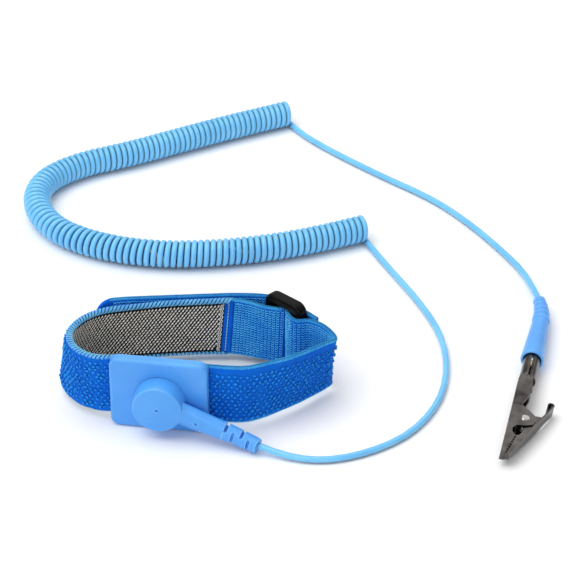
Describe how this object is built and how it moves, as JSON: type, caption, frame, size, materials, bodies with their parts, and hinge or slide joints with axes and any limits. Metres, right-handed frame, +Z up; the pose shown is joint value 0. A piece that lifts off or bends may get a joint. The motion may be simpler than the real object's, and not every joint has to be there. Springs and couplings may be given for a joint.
{
  "type": "esd wrist strap",
  "caption": "Adjustable conductive wristband with a swivelling snap head, a curly cord and a stacked banana plug that carries a toothed spring clip.",
  "frame": {"origin": "bottom centre of the box round the wristband with its snap head, on the plane it stands on", "axes": "+X along the band's long side from its left bend to the buckle's crease, +Y from the snap head towards the back of the band, +Z up along the strap's width"},
  "size_m": [0.1656, 0.2026, 0.0247],
  "materials": {
    "head_plastic": "light blue moulded plastic, satin",
    "snap_steel": "nickel plated",
    "skin_steel": "stainless, brushed",
    "strap_fabric": "deep blue loop pile with light blue flecks",
    "lining_fabric": "grey conductive twill",
    "hook_tape": "fine hook tape",
    "buckle_plastic": "black moulded plastic, glossy",
    "resistor_body": "lacquered",
    "leg_metal": "tinned",
    "cord_plastic": "light blue extruded plastic, satin",
    "plug_brass": "turned, nickel flashed",
    "clip_steel": "pressed sheet, dark nickel",
    "spring_steel": "drawn wire"
  },
  "bodies": {
    "cord_set": {"snap_head": "head_plastic", "snap_socket": "snap_steel", "resistor": "resistor_body", "resistor_legs": "leg_metal", "wire_ferrule": "leg_metal", "cord_boot": "head_plastic", "wrist_lead": "cord_plastic", "cord_coil": "cord_plastic", "clip_lead": "cord_plastic", "plug_sleeve": "head_plastic", "banana_pin": "plug_brass"},
    "snap_spring": {"snap_ring": "snap_steel"},
    "wristband": {"cover_plate": "head_plastic", "snap_stud": "snap_steel", "rivet_cap": "snap_steel", "contact_plate": "skin_steel", "main_strap": "strap_fabric", "conductive_lining": "lining_fabric", "right_strap": "strap_fabric", "buckle": "buckle_plastic"},
    "tail": {"strap_tail": "strap_fabric", "hook_patch": "hook_tape"},
    "plug_spring": {"banana_spring": "snap_steel"},
    "clip": {"clip_fixed_jaw": "clip_steel", "pivot_pin": "clip_steel", "jaw_spring": "spring_steel"},
    "moving_jaw": {"clip_moving_jaw": "clip_steel"}
  },
  "joints": [
    {"name": "snap_swivel", "type": "hinge", "parent": "cord_set", "child": "snap_spring", "pos_m": [-0.01071, -0.01449, 0.0104], "axis": [-0.1564, -0.9877, 0], "continuous": true},
    {"name": "snap_pull", "type": "slide", "parent": "snap_spring", "child": "wristband", "axis": [0.1564, 0.9877, 0], "range_m": [0, 0.01]},
    {"name": "tail_peel", "type": "hinge", "parent": "wristband", "child": "tail", "pos_m": [0.021, 0.0232, 0.0117], "axis": [0, 0, -1], "range_deg": [0, 45]},
    {"name": "clip_turn", "type": "hinge", "parent": "cord_set", "child": "plug_spring", "pos_m": [0.0973, 0.0151, 0.0036], "axis": [-0.2079, -0.9781, 0], "continuous": true},
    {"name": "clip_pull", "type": "slide", "parent": "plug_spring", "child": "clip", "axis": [-0.2079, -0.9781, 0], "range_m": [0, 0.02]},
    {"name": "jaw_open", "type": "hinge", "parent": "clip", "child": "moving_jaw", "pos_m": [0.09233, -0.01707, 0.0033], "axis": [0.1614, -0.0343, 0.9863], "range_deg": [0, 20], "stiffness_Nm_per_rad": 0.16, "springref_deg": -28.65, "deforming": ["jaw_spring"]}
  ]
}
